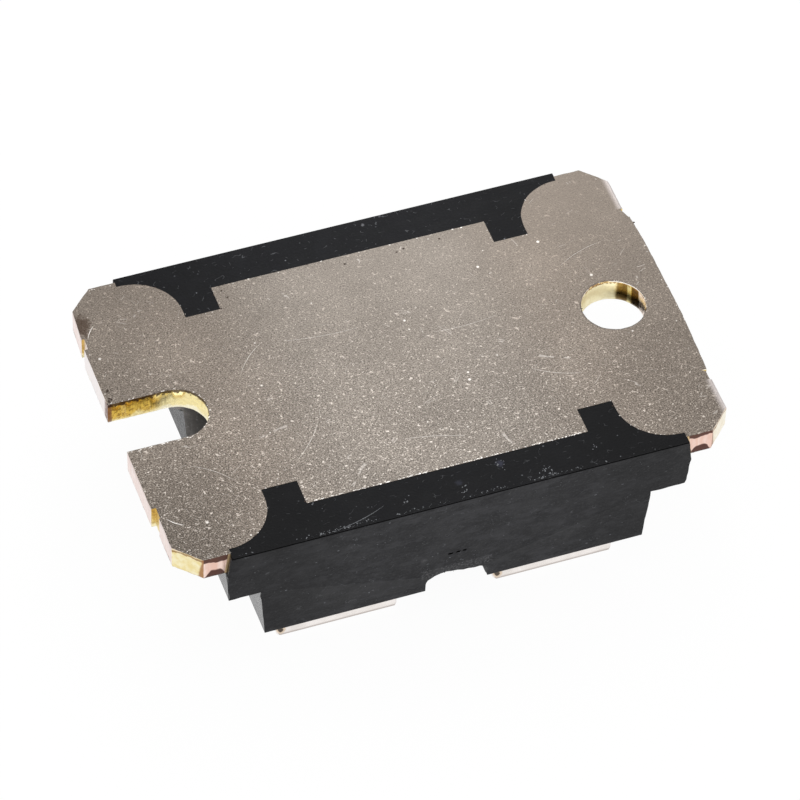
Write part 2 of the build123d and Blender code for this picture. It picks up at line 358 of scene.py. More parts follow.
# Bands across the opening walls: from x, to x, softness, strength, colour.
WALL_BANDS = (
    (-END_X, -END_X + 0.22, 0.15, 0.85, (0.20, 0.08, 0.045)),
    (MOUNTING_X + 1.02, MOUNTING_X + 1.48, 0.16, 0.88, (0.17, 0.10, 0.03)),
    (MOUNTING_X + 1.56, MOUNTING_X + 1.68, 0.06, 0.7, (0.80, 0.70, 0.35)),
    (MOUNTING_X + 1.76, MOUNTING_X + 2.02, 0.06, 0.9, (0.10, 0.045, 0.015)),
    (MOUNTING_X + 2.04, MOUNTING_X + 3.0, 0.05, 0.9, (0.97, 0.82, 0.73)),
)


def make_gold_wall():
    """Stamped wall that kept its plating: gold with brown mottling, cream where it is rolled."""
    material, shader, place = new_material("yellow_plated_wall", 1.0, colour=(0.7, 0.5, 0.2))
    x, y, z = axes_of(place)
    wander = noise_node(place, 1.3, 3.0, 0.6)
    wave = times(minus(wander, 0.5), 1.5)
    shifted = plus(z, wave)
    along = size_of(y)
    slot_end = band(x, -MOUNTING_X - 0.2, 0.0, 0.9)
    hole_left = band(x, 0.0, MOUNTING_X + 0.7, 0.4)
    off_notch = minus(1.0, spread(along, 6.8, 6.9))
    pale = larger(larger(slot_end, hole_left), spread(along, 6.8, 6.9, 0.0, 0.45))
    gold = blend(pale, (0.74, 0.49, 0.09), (0.94, 0.81, 0.42))
    gold = blend(hole_left, gold, (0.96, 0.88, 0.60))
    cream = blend(pale, (0.92, 0.78, 0.38), (1.0, 0.93, 0.68))
    upper = spread(shifted, PLATE_INNER + 0.3, PLATE_INNER + 0.75)
    colour = blend(upper, cream, gold)
    lower_line = spread(z, PLATE_INNER + 0.26, PLATE_INNER + 0.16)
    colour = blend(lower_line, colour, (1.0, 0.94, 0.78))
    mottle = noise_node(place, 4.2, 3.0, 0.7)
    clear = minus(1.0, times(pale, 0.92))
    brown = times(spread(mottle, 0.45, 0.62), clear)
    brown = times(brown, spread(upper, 0.0, 1.0, 0.25, 0.68))
    colour = blend(brown, colour, (0.25, 0.12, 0.02))
    streaks = noise_node(place, 2.6, 2.0, 0.5, stretch=(1.0, 1.0, 0.1))
    lights = times(spread(streaks, 0.55, 0.75), spread(x, -1.0, 1.0, 0.2, 0.55))
    colour = blend(lights, colour, (0.98, 0.90, 0.62))
    for low, high, soft, share, tone in WALL_BANDS:
        here = times(band(x, low, high, soft), off_notch)
        colour = blend(times(here, share), colour, tone)
    nibbled = times(minus(mottle, 0.5), 0.8)
    nibbled = minus(nibbled, spread(x, -1.0, 1.0, 0.0, 0.1))
    rim = spread(plus(z, nibbled), BASE_FACE - 0.32, BASE_FACE - 0.22, 0.0, 0.92)
    rim = times(rim, off_notch)
    speckled = blend(spread(mottle, 0.45, 0.55), (0.95, 0.66, 0.20), (0.30, 0.14, 0.04))
    rim_tone = blend(spread(x, -1.0, 1.0), (0.05, 0.028, 0.02), speckled)
    colour = blend(rim, colour, rim_tone)
    # Painted highlight: a pale line along the rounded top rim of the round hole, fainter at its top
    # left.
    top_left = times(band(x, MOUNTING_X - 0.9, MOUNTING_X + 0.3, 0.3), spread(y, 0.0, 0.3))
    painted_rim_highlight = times(spread(z, BASE_FACE - 0.11, BASE_FACE - 0.08), spread(x, 0.0, 1.0))
    painted_rim_highlight = times(painted_rim_highlight, minus(0.9, times(top_left, 0.8)))
    colour = blend(painted_rim_highlight, colour, (0.95, 0.91, 0.85))
    rough = spread(mottle, 0.3, 0.7, 0.22, 0.42)
    rough = plus(rough, times(hole_left, 0.25))
    finish_material(shader, colour, rough, streaks, 0.03)
    return material


def make_chamfer_gold():
    """Cut corner with thin plating: pale gold, paler at the anode end, outlined in brown."""
    material, shader, place = new_material("pale_gold_corner", 1.0, colour=(0.85, 0.72, 0.4))
    x, _, z = axes_of(place)
    wander = noise_node(place, 1.2, 3.0, 0.6)
    wave = times(minus(wander, 0.5), 0.7)
    shifted = plus(z, wave)
    cloud = spread(noise_node(place, 1.8, 3.0, 0.6), 0.35, 0.65)
    left = blend(cloud, (0.88, 0.74, 0.36), (0.97, 0.89, 0.60))
    right = blend(cloud, (0.93, 0.84, 0.66), (0.98, 0.93, 0.80))
    colour = blend(spread(x, -2.0, 2.0), left, right)
    upper = band(shifted, BASE_FACE - 0.26, BASE_FACE - 0.17, 0.09)
    colour = blend(times(upper, 0.85), colour, (0.33, 0.17, 0.06))
    foot = spread(shifted, PLATE_INNER + 0.3, PLATE_INNER + 0.14, 0.0, 0.75)
    colour = blend(foot, colour, (0.42, 0.20, 0.07))
    inner = size_of(x)
    bowed = plus(inner, times(wave, 0.25))
    bowed = plus(bowed, spread(z, PLATE_INNER, BASE_FACE, -0.12, 0.06))
    side_line = spread(bowed, 17.42, 17.32, 0.0, 0.85)
    colour = blend(side_line, colour, (0.36, 0.15, 0.06))
    lip = spread(shifted, BASE_FACE - 0.13, BASE_FACE - 0.05, 0.0, 0.7)
    colour = blend(lip, colour, (0.85, 0.66, 0.55))
    pits = effect(SPECKS, place, Per_mm=1.5, Share=0.3, Size=0.1)
    colour = blend(times(pits, 0.7), colour, (0.30, 0.20, 0.06))
    rough = spread(wander, 0.3, 0.7, 0.3, 0.45)
    finish_material(shader, colour, rough, wander, 0.03)
    return material


def make_sheared_copper(name, light, dark, torn):
    """Face sheared after plating: pale copper with drag lines, torn dark bands above and below."""
    material, shader, place = new_material(name, 1.0, colour=light)
    x, y, z = axes_of(place)
    wander = noise_node(place, 0.9, 2.0, 0.5)
    wave = minus(wander, 0.5)
    drag = noise_node(place, 2.4, 3.0, 0.6, stretch=(1.0, 1.0, 0.15))
    colour = blend(spread(drag, 0.35, 0.7), dark, light)
    cloud = noise_node(place, 1.6, 3.0, 0.6)
    colour = blend(spread(cloud, 0.5, 0.75, 0.0, 0.5), colour, dark)
    high = plus(z, times(wave, 0.9))
    thin = plus(high, spread(x, 0.0, 5.0, 0.0, -0.14))
    top_band = spread(thin, BASE_FACE - 0.42, BASE_FACE - 0.34, 0.0, torn)
    colour = blend(top_band, colour, (0.085, 0.03, 0.02))
    across = size_of(x)
    lens = band(across, 16.2, 16.7, 0.6)
    low = minus(z, times(lens, 0.68))
    low = plus(low, times(wave, 0.5))
    low_band = spread(low, PLATE_INNER + 0.24, PLATE_INNER + 0.1, 0.0, torn)
    colour = blend(low_band, colour, (0.07, 0.02, 0.013))
    line = spread(z, PLATE_INNER + 0.17, PLATE_INNER + 0.07, 0.0, 0.6)
    colour = blend(line, colour, (0.46, 0.36, 0.34))
    leaned = plus(across, times(minus(z, BASE_FACE), 0.15))
    seam = times(spread(leaned, 15.62, 15.56), torn)
    colour = blend(seam, colour, (0.72, 0.52, 0.28))
    pale_end = times(band(y, 2.5, 7.0, 0.6), 0.8 * (1.0 - torn))
    pale_end = times(pale_end, spread(x, 0.5, -0.5))
    colour = blend(pale_end, colour, (0.94, 0.91, 0.91))
    mouth = band(y, MOUNTING_RADIUS - 0.3, MOUNTING_RADIUS + 0.4, 0.35)
    mouth = times(mouth, spread(x, -18.0, -18.4))
    mouth = times(mouth, spread(cloud, 0.3, 0.5, 0.3, 0.9))
    colour = blend(mouth, colour, (0.16, 0.06, 0.035))
    rough = spread(drag, 0.3, 0.7, 0.3, 0.5)
    finish_material(shader, colour, rough, drag, 0.02)
    return material


# Rubbed and dusty spots on the moulding: x, y, z, size, colour.
EPOXY_SPOTS = (
    (-2.37, -12.4, 6.3, 0.32, (0.10, 0.10, 0.105)),
    (3.25, -10.5, 12.0, 0.34, (0.050, 0.052, 0.075)),
    (0.2, -11.2, 12.0, 0.3, (0.03, 0.032, 0.045)),
    (1.8, 12.0, 12.0, 0.15, (0.13, 0.13, 0.14)),
    (3.1, 12.4, 12.0, 0.14, (0.09, 0.09, 0.10)),
)


def recess_painted_light(place):
    """Painted light on the screw recess at the slot end, lighter towards its mouth."""
    x = axes_of(place)["X"]
    across = size_of(x)
    lighter = plus(spread(across, 12.0, 14.4, 0.5, 7.0), spread(across, 13.3, 13.6, 0.0, 7.0))
    lighter = times(lighter, spread(x, -10.2, -10.6))
    return plus(lighter, 1.0)


def end_painted_light(place):
    """Painted light on the lower body's slot end: lighter at the front and towards its foot."""
    x, y, z = axes_of(place)
    lighter = plus(spread(y, -9.0, 3.0, 0.7, 0.0), spread(z, 7.1, 3.2, 0.0, 0.4))
    on_tower = times(spread(x, -12.0, -12.5), spread(z, 7.3, 7.1))
    return plus(times(lighter, on_tower), 1.0)


def make_epoxy(name, tones, specular, rough, marks, rear=1.0, rear_gloss=1.0, shade=None):
    """Black filled epoxy moulding: fine grain, rubbed streaks along the length, dust specks."""
    dark, light = tones
    material, shader, place = new_material(name, 0.0, specular, dark)
    x, y, z = axes_of(place)
    grain = noise_node(place, 6.0, 3.0, 0.6)
    streaks = noise_node(place, 1.3, 4.0, 0.65, stretch=(0.45, 1.0, 1.0))
    cloud = noise_node(place, 0.5, 3.0, 0.6)
    rubbed = times(spread(streaks, 0.45, 0.7), marks)
    colour = blend(rubbed, dark, light)
    scuffs = noise_node(place, 5.0, 3.0, 0.75, stretch=(0.25, 1.0, 1.0))
    colour = blend(spread(scuffs, 0.54, 0.72, 0.0, marks * 0.5), colour, light)
    colour = blend(spread(cloud, 0.4, 0.7, 0.0, 0.4), colour, light)
    colour = blend(spread(grain, 0.45, 0.75, 0.0, 0.5), colour, light)
    dust = effect(SPECKS, place, Per_mm=1.2, Share=0.13, Size=0.09)
    fine_dust = effect(SPECKS, place, Per_mm=3.3, Share=0.07, Size=0.2)
    patchy = spread(noise_node(place, 0.7, 2.0, 0.5), 0.45, 0.6, 0.15, 0.7)
    specks = times(larger(dust, fine_dust), patchy)
    colour = blend(specks, colour, (0.22, 0.23, 0.25))
    threads = effect(FLECKS, place, Per_mm=1.6, Width=0.012, Share=0.42)
    colour = blend(times(threads, 0.18), colour, (0.3, 0.31, 0.33))
    for spot_x, spot_y, spot_z, size, tone in EPOXY_SPOTS:
        away = distance(place, (spot_x, spot_y, spot_z))
        far = plus(away, times(grain, size * 1.6))
        colour = blend(spread(far, size, size * 1.9, 0.8, 0.0), colour, tone)
    across = size_of(x)
    # Painted light and shade from the function given for this piece.
    if shade:
        colour = scaled(colour, shade(place))
    colour = scaled(colour, spread(across, 6.5, 11.0, 1.27, 0.88))
    scar = band(z, 4.45, 5.0, 0.3)
    scar = times(scar, band(x, -2.3, 2.2, 0.3))
    scar = times(scar, spread(grain, 0.45, 0.65, 0.1, 0.75))
    colour = blend(scar, colour, (0.15, 0.15, 0.155))
    # Painted light: the rear side lighter by the factor rear.
    colour = scaled(colour, spread(y, -6.0, 6.0, 1.0, rear))
    # Painted shade: a dark line just under the rail edge, dimming colour and gloss; the flat top
    # stays as it is.
    painted_shade_under_rail = spread(z, BASE_FACE - 0.2, BASE_FACE - 0.13, 1.0, 0.05)
    flat_top = spread(z, BASE_FACE - 0.035, BASE_FACE - 0.03)
    lit = larger(painted_shade_under_rail, flat_top)
    colour = scaled(colour, lit)
    gloss = spread(y, -6.0, 3.0, specular, specular * rear_gloss)
    shader.id_data.links.new(times(lit, gloss), shader.inputs["Specular IOR Level"])
    roughness = spread(streaks, 0.3, 0.7, *rough)
    finish_material(shader, colour, roughness, grain, 0.02)
    return material


def make_plated(name, light, dark, rough, trim=0.0):
    """Satin plated metal with drawn lines, small dents and dull patches."""
    material, shader, place = new_material(name, 1.0, colour=light)
    lines = noise_node(place, 6.0, 2.0, 0.5, stretch=(1.0, 0.1, 1.0))
    cloud = effect(PATCHES, place, Per_mm=0.5, Low=0.4, High=0.7)
    colour = blend(cloud, light, dark)
    colour = blend(spread(lines, 0.55, 0.8, 0.0, 0.35), colour, dark)
    pits = effect(SPECKS, place, Per_mm=1.6, Share=0.16, Size=0.12)
    colour = blend(times(pits, 0.5), colour, (0.2, 0.17, 0.14))
    _, y, z = axes_of(place)
    outer_side = spread(size_of(y), -tab_low.y - 0.12, -tab_low.y - 0.05, 0.0, trim)
    foot = times(outer_side, spread(z, 0.24, 0.06))
    colour = blend(foot, colour, (0.5, 0.45, 0.42))
    # Painted shade: a dark brown line along the top of the outer side, by the moulding's edge.
    lip = times(outer_side, band(z, 0.70, 0.9, 0.06))
    colour = blend(lip, colour, (0.26, 0.14, 0.08))
    # Painted shade: a dark spot with a brown ring at the front corner of each front tab.
    for end in ENDS:
        low = box_mm(f"front_{end}_terminal")[0]
        away = distance(place, (low.x + 0.22, low.y, 0.48))
        colour = blend(spread(away, 0.3, 0.42, trim, 0.0), colour, (0.72, 0.58, 0.44))
        colour = blend(spread(away, 0.16, 0.24, trim, 0.0), colour, (0.03, 0.02, 0.015))
    finish_material(shader, colour, spread(lines, 0.3, 0.7, *rough), lines, 0.01)
    return material


def make_matt(name, light, dark, metallic, rough, per_mm, depth, specular=0.4):
    """Plain matt or satin surface with mottled grain, for the sealed inner pieces."""
    material, shader, place = new_material(name, metallic, specular, light)
    grain = noise_node(place, per_mm, 4.0, 0.6)
    colour = blend(spread(grain, 0.35, 0.7), light, dark)
    spots = effect(SPECKS, place, Per_mm=2.0, Share=0.12, Size=0.1)
    colour = blend(times(spots, 0.5), colour, dark)
    roughness = spread(grain, 0.3, 0.7, rough - 0.08, rough + 0.08)
    finish_material(shader, colour, roughness, grain, depth)
    return material


# How far the nickel's grain and its flecks swing its brightness.
GRAIN_PER_MM = 13.5
GRAIN_SWING = 3.8
FLECK_LIGHT = 1.05
nickel = make_nickel()
gold_wall = make_gold_wall()
chamfer_gold = make_chamfer_gold()
end_copper = make_sheared_copper("sheared_end", (0.97, 0.89, 0.86), (0.88, 0.72, 0.67), 0.12)
side_copper = make_sheared_copper("sheared_side", (0.97, 0.78, 0.70), (0.84, 0.56, 0.46), 0.95)
rail_epoxy = make_epoxy(
    "black_epoxy_rail", ((0.0040, 0.0041, 0.0050), (0.0095, 0.0097, 0.0115)),
    specular=0.1, rough=(0.36, 0.48), marks=0.35, rear=1.7,
)
end_epoxy = make_epoxy(
    "black_epoxy_end", ((0.012, 0.012, 0.0135), (0.022, 0.022, 0.025)),
    specular=0.16, rough=(0.10, 0.18), marks=0.5, rear_gloss=0.1, shade=end_painted_light,
)
# Lighter tones than the other black epoxy: painted light for the recess's grazing reflection.
lit_recess_epoxy = make_epoxy(
    "black_epoxy_recess_painted_light", ((0.042, 0.040, 0.0385), (0.074, 0.070, 0.068)),
    specular=0.16, rough=(0.2, 0.3), marks=0.5, shade=recess_painted_light,
)
wall_epoxy = make_epoxy(
    "black_epoxy_wall", ((0.0125, 0.0125, 0.0140), (0.050, 0.050, 0.0535)),
    specular=0.16, rough=(0.5, 0.65), marks=0.9,
)
tab_plating = make_plated(
    "tab_plating", (0.93, 0.88, 0.85), (0.82, 0.77, 0.73), (0.25, 0.4), trim=0.9,
)
nut_zinc = make_plated("nut_zinc", (0.6, 0.6, 0.58), (0.42, 0.42, 0.42), (0.3, 0.45))

# Matt finishes: light and dark tone, metallic, roughness, grains a millimetre, grain depth.
MATT_FINISHES = {
    "copper_track": ((0.80, 0.45, 0.30), (0.62, 0.30, 0.18), 1.0, 0.35, 3.0, 0.006),
    "solder": ((0.62, 0.62, 0.63), (0.45, 0.45, 0.46), 1.0, 0.42, 2.0, 0.02),
    "alumina": ((0.86, 0.85, 0.80), (0.78, 0.77, 0.72), 0.0, 0.7, 5.0, 0.006),
    "chip_metal": ((0.66, 0.67, 0.70), (0.52, 0.53, 0.57), 1.0, 0.3, 4.0, 0.004),
    "wire_metal": ((0.82, 0.82, 0.82), (0.68, 0.68, 0.69), 1.0, 0.33, 6.0, 0.004),
    "glinting_burr": ((0.93, 0.90, 0.86), (0.70, 0.65, 0.60), 1.0, 0.35, 6.0, 0.004),
    "burnt_crumb": ((0.06, 0.035, 0.022), (0.025, 0.014, 0.01), 0.3, 0.5, 6.0, 0.004),
    "pale_dust": ((0.34, 0.35, 0.37), (0.10, 0.105, 0.12), 0.0, 0.8, 7.0, 0.004),
    "grey_crumb": ((0.20, 0.205, 0.22), (0.07, 0.072, 0.08), 0.0, 0.8, 7.0, 0.004),
    # Painted shade for small voids in the moulding.
    "void_painted_shade": ((0.0005, 0.0005, 0.0005), (0.001, 0.001, 0.001), 0.0, 0.9, 7.0, 0.004, 0.02),
}
matt = {name: make_matt(name, *values) for name, values in MATT_FINISHES.items()}


# ---------------------------------------------------------------- mesh helpers
MERGE_DISTANCE = 0.0002
SHORTEST_EDGE = 0.0005
FLAT_ANGLE = math.radians(0.6)
CURVED_DEGREES = (1.0, 26.0)
SHARP_DEGREES = 30.0


def copy_of(cad_node):
    """The CAD node's shape as a merged bmesh in millimetres, with flat faces made whole."""
    bm = bmesh.new()
    bm.from_mesh(NODES[cad_node].data)
    bmesh.ops.scale(bm, vec=(1 / MM, 1 / MM, 1 / MM), verts=bm.verts)
    bmesh.ops.remove_doubles(bm, verts=bm.verts, dist=MERGE_DISTANCE)
    bmesh.ops.dissolve_limit(bm, angle_limit=FLAT_ANGLE, verts=bm.verts, edges=bm.edges)
    return bm


def mark_curved(bm):
    """Smooth shading for the facets of curved walls, flat shading for plane faces."""
    for face in bm.faces:
        angles = [math.degrees(edge.calc_face_angle(0.0)) for edge in face.edges]
        face.smooth = any(CURVED_DEGREES[0] < angle < CURVED_DEGREES[1] for angle in angles)


def cut_faces(bm, faces, place, across):
    """Cuts the faces where a plane through place, square to across, meets them."""
    edges = {edge for face in faces for edge in face.edges}
    verts = {vert for face in faces for vert in face.verts}
    cut = [*verts, *edges, *faces]
    bmesh.ops.bisect_plane(bm, geom=cut, plane_co=Vector(place), plane_no=Vector(across))


def divide_long(bm, step, wanted):
    """Cuts the wanted sharp edges into lengths of about step."""
    for edge in [edge for edge in bm.edges if wanted(edge)]:
        cuts = int(edge.calc_length() / step)
        if cuts:
            bmesh.ops.bisect_edges(bm, edges=[edge], cuts=cuts)


def is_sharp(edge):
    return edge.is_manifold and math.degrees(edge.calc_face_angle(0.0)) > SHARP_DEGREES


def soften(bm, width, wanted, segments=2):
    """Rounds the wanted edges over width."""
    edges = [edge for edge in bm.edges if wanted(edge)]
    made = bmesh.ops.bevel(
        bm, geom=edges, offset=width, offset_type="OFFSET", segments=segments,
        profile=0.5, affect="EDGES", clamp_overlap=True, material=-1,
    )
    for face in made["faces"]:
        face.smooth = True


def middle(edge):
    return (edge.verts[0].co + edge.verts[1].co) / 2


def wobble(point, per_mm, seed):
    """Smooth repeatable random vector with parts between about -1 and 1."""
    return noise.noise_vector(point * per_mm + Vector((seed, 2.7 * seed, -seed)))


def split_many_sided(bm):
    """Cut every face of more than four corners into triangles and leave the shell closed."""
    home = bm.faces.layers.int.new("home")
    for number, face in enumerate(bm.faces):
        face[home] = number
    bmesh.ops.triangulate(bm, faces=[face for face in bm.faces if len(face.verts) > 4])
    # Neighbours both cut along their common side share that cut, so one of them is cut again.
    for edge in [edge for edge in bm.edges if len(edge.link_faces) > 2]:
        if not edge.is_valid or len(edge.link_faces) < 3:
            continue
        number = edge.link_faces[0][home]
        pair = [face for face in edge.link_faces if face[home] == number]
        if len(pair) == 2:
            corners = [vert for face in pair for vert in face.verts if vert not in edge.verts]
            bmesh.utils.face_split(bmesh.utils.face_join(pair, False), *corners)
    bm.faces.layers.int.remove(home)


def finish_piece(bm, name, materials, replaced=()):
    """Turns a bmesh in millimetres into a piece riding on the body, at the origin."""
    bmesh.ops.dissolve_degenerate(bm, dist=SHORTEST_EDGE, edges=bm.edges)
    split_many_sided(bm)
    bmesh.ops.scale(bm, vec=(MM, MM, MM), verts=bm.verts)
    for vert in bm.verts:
        for axis in range(3):
            vert.co[axis] = max(cad_low[axis], min(cad_high[axis], vert.co[axis]))
    mesh = bpy.data.meshes.new(name)
    bm.to_mesh(mesh)
    bm.free()
    for material in materials:
        mesh.materials.append(material)
    piece = bpy.data.objects.new(name, mesh)
    bpy.context.scene.collection.objects.link(piece)
    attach(piece, "root")
    if replaced:
        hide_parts(*replaced)
    return piece


# ---------------------------------------------------------------- base plate
PLATE_FINISHES = [nickel, gold_wall, chamfer_gold, end_copper, side_copper]
FACE_DROP = 0.01
ROLLOVER = 0.55
ROLLED_RADIUS = 0.48
ROLLED_LEVELS = (0.06, 0.17, 0.31, 0.48)
RIM_STEP = 0.22
RIM_BEVEL = 0.07
HOLE_RIM_OPENING = 0.15
HOLE_BEVEL_OPENING = 0.06


def in_opening(point, margin=0.1):
    """Whether a point is on the wall of the round hole or of the open slot."""
    across = abs(point.x) - MOUNTING_X
    if Vector((across, point.y)).length < MOUNTING_RADIUS + margin:
        return True
    return point.x < -MOUNTING_X and abs(point.y) < MOUNTING_RADIUS + margin


def plate_finish(face):
    """Which finish a face of the plate has, by where it lies and which way it looks."""
    normal, centre = face.normal, face.calc_center_median()
    across, along = abs(centre.x), abs(centre.y)
    at_rim = 0.45 < normal.z < 0.96
    if at_rim and in_opening(centre, 0.25) and centre.y > -0.5:
        return 1
    if at_rim and centre.x < 0.12 - END_X:
        return 2
    if normal.z > 0.3:
        return 0
    if in_opening(centre, ROLLED_RADIUS + 0.1) and across < END_X - 0.06:
        return 1
    if normal.z < -0.9:
        return 0
    if abs(normal.x) > 0.35 and abs(normal.y) > 0.35 and across > 17.0 and along > 10.0:
        return 2
    in_notch = across > END_X - 0.7 and NOTCH_INNER - 0.1 < along < NOTCH_OUTER + 0.1
    if in_notch and (abs(normal.y) > 0.6 or across < END_X - 0.3):
        return 1
    return 3 if abs(normal.x) > 0.6 else 4


def on_base_face(edge):
    return min(vert.co.z for vert in edge.verts) > BASE_FACE - 0.01


def end_shift(point):
    """How far the blanking tool moved a point of the plate's ends from the drawn outline."""
    along = abs(point.y)
    if -18.8 < point.x < -18.3 and NOTCH_INNER - 0.1 < along < NOTCH_OUTER + 0.02:
        return -0.14 if point.y > 0 else -0.08
    if point.x < -18.3 and point.y > NOTCH_OUTER - 0.1:
        return -0.17 * max(0.0, 1.0 - (point.y - NOTCH_OUTER) / 2.4)
    if point.x > 18.3 and point.y > NOTCH_OUTER - 0.02:
        return -0.03
    if 18.3 < point.x < 18.8 and NOTCH_INNER - 0.1 < point.y:
        return -0.14 + 0.38 * (NOTCH_OUTER - point.y)
    if point.x > 18.3 and point.y > 4.8:
        return -0.06 * (point.y - 4.8)
    if point.x > 18.3 and -NOTCH_INNER - 0.05 < point.y < -2.0:
        return 0.05 * (point.y + 2.0)
    return 0.0


def make_base_plate():
    """Stamped plate with rolled lower edges, burred rims and slightly uneven ends."""
    bm = copy_of("base_plate")
    tip = housing_high.x - 0.3
    for height in ROLLED_LEVELS:
        cut_faces(bm, bm.faces, (0.0, 0.0, PLATE_INNER + height), (0.0, 0.0, 1.0))

    def exposed(edge):
        centre = middle(edge)
        return abs(centre.x) > tip or in_opening(centre)

    def divided(edge):
        level = abs(edge.verts[0].co.z - edge.verts[1].co.z) < 0.001
        on_wall = any(abs(face.normal.z) < 0.8 for face in edge.link_faces)
        return exposed(edge) and level and on_wall

    def top_rim(edge):
        return exposed(edge) and is_sharp(edge) and on_base_face(edge)

    def rolled_rim(edge):
        centre = middle(edge)
        return top_rim(edge) and centre.x > END_X - 0.35 and abs(centre.y) > NOTCH_OUTER

    mark_curved(bm)
    soften(bm, ROLLOVER, rolled_rim, segments=6)
    bm.normal_update()
    divide_long(bm, RIM_STEP, divided)
    soften(bm, RIM_BEVEL, top_rim)
    for vert in bm.verts:
        from_axis = Vector((vert.co.x - MOUNTING_X, vert.co.y, 0.0))
        if from_axis.length < MOUNTING_RADIUS + 0.1 and vert.co.z > BASE_FACE - 0.06:
            on_top = vert.co.z > BASE_FACE - 0.01
            opening = HOLE_RIM_OPENING if on_top else HOLE_BEVEL_OPENING
            vert.co += from_axis.normalized() * opening
    for vert in bm.verts:
        point = vert.co
        height = point.z - PLATE_INNER
        if in_opening(point, 0.05) and height < ROLLED_RADIUS:
            rise = ROLLED_RADIUS - height
            away = ROLLED_RADIUS - math.sqrt(ROLLED_RADIUS ** 2 - rise ** 2)
            straight = point.x < -MOUNTING_X
            centre_x = point.x if straight else math.copysign(MOUNTING_X, point.x)
            vert.co += Vector((point.x - centre_x, point.y, 0.0)).normalized() * away
    for vert in bm.verts:
        if abs(vert.co.x) < MOUNTING_X - 3.0:
            continue
        shift = wobble(vert.co, 1.7, 3.1) * 0.022 + wobble(vert.co, 5.5, 7.7) * 0.016
        inward = Vector((-math.copysign(0.02, vert.co.x), -math.copysign(0.02, vert.co.y), 0.0))
        on_face = abs(vert.co.z - BASE_FACE) < 0.002 or abs(vert.co.z - PLATE_INNER) < 0.002
        sideways = Vector((end_shift(vert.co), 0.0, 0.0))
        vert.co += Vector((shift.x, shift.y, 0.0 if on_face else shift.z)) + inward + sideways
    for vert in bm.verts:
        vert.co.z = min(vert.co.z, BASE_FACE - FACE_DROP)
        vert.co.x = max(0.01 - END_X, min(END_X - 0.01, vert.co.x))
    low = [face for face in bm.faces if face.calc_center_median().z < PLATE_INNER + 0.02]
    under = [face for face in low if face.normal.z < -0.99]
    bmesh.ops.delete(bm, geom=under, context="FACES")
    open_edges = [edge for edge in bm.edges if edge.is_boundary]
    bmesh.ops.triangle_fill(bm, use_beauty=True, edges=open_edges, normal=(0.0, 0.0, -1.0))
    bm.normal_update()
    for face in bm.faces:
        face.material_index = plate_finish(face)
    finish_piece(bm, "plated_base_plate", PLATE_FINISHES, ("base_plate",))


# ---------------------------------------------------------------- housing
RAIL_DROP = 0.02
CHANNEL_HALF = 2.15
RECESS_RADIUS = 4.2
RECESS_CUTS = (13.5, 13.9, 14.3, 14.7)
RECESS_FLARE = 0.5
END_BORDER = 0.55
EDGE_STEP = 0.4
EDGE_BEVEL = 0.05
TOWER_END_SHIFT = 0.22
REAR_SHIFT = 0.16
SIDE_MARGIN = 0.005


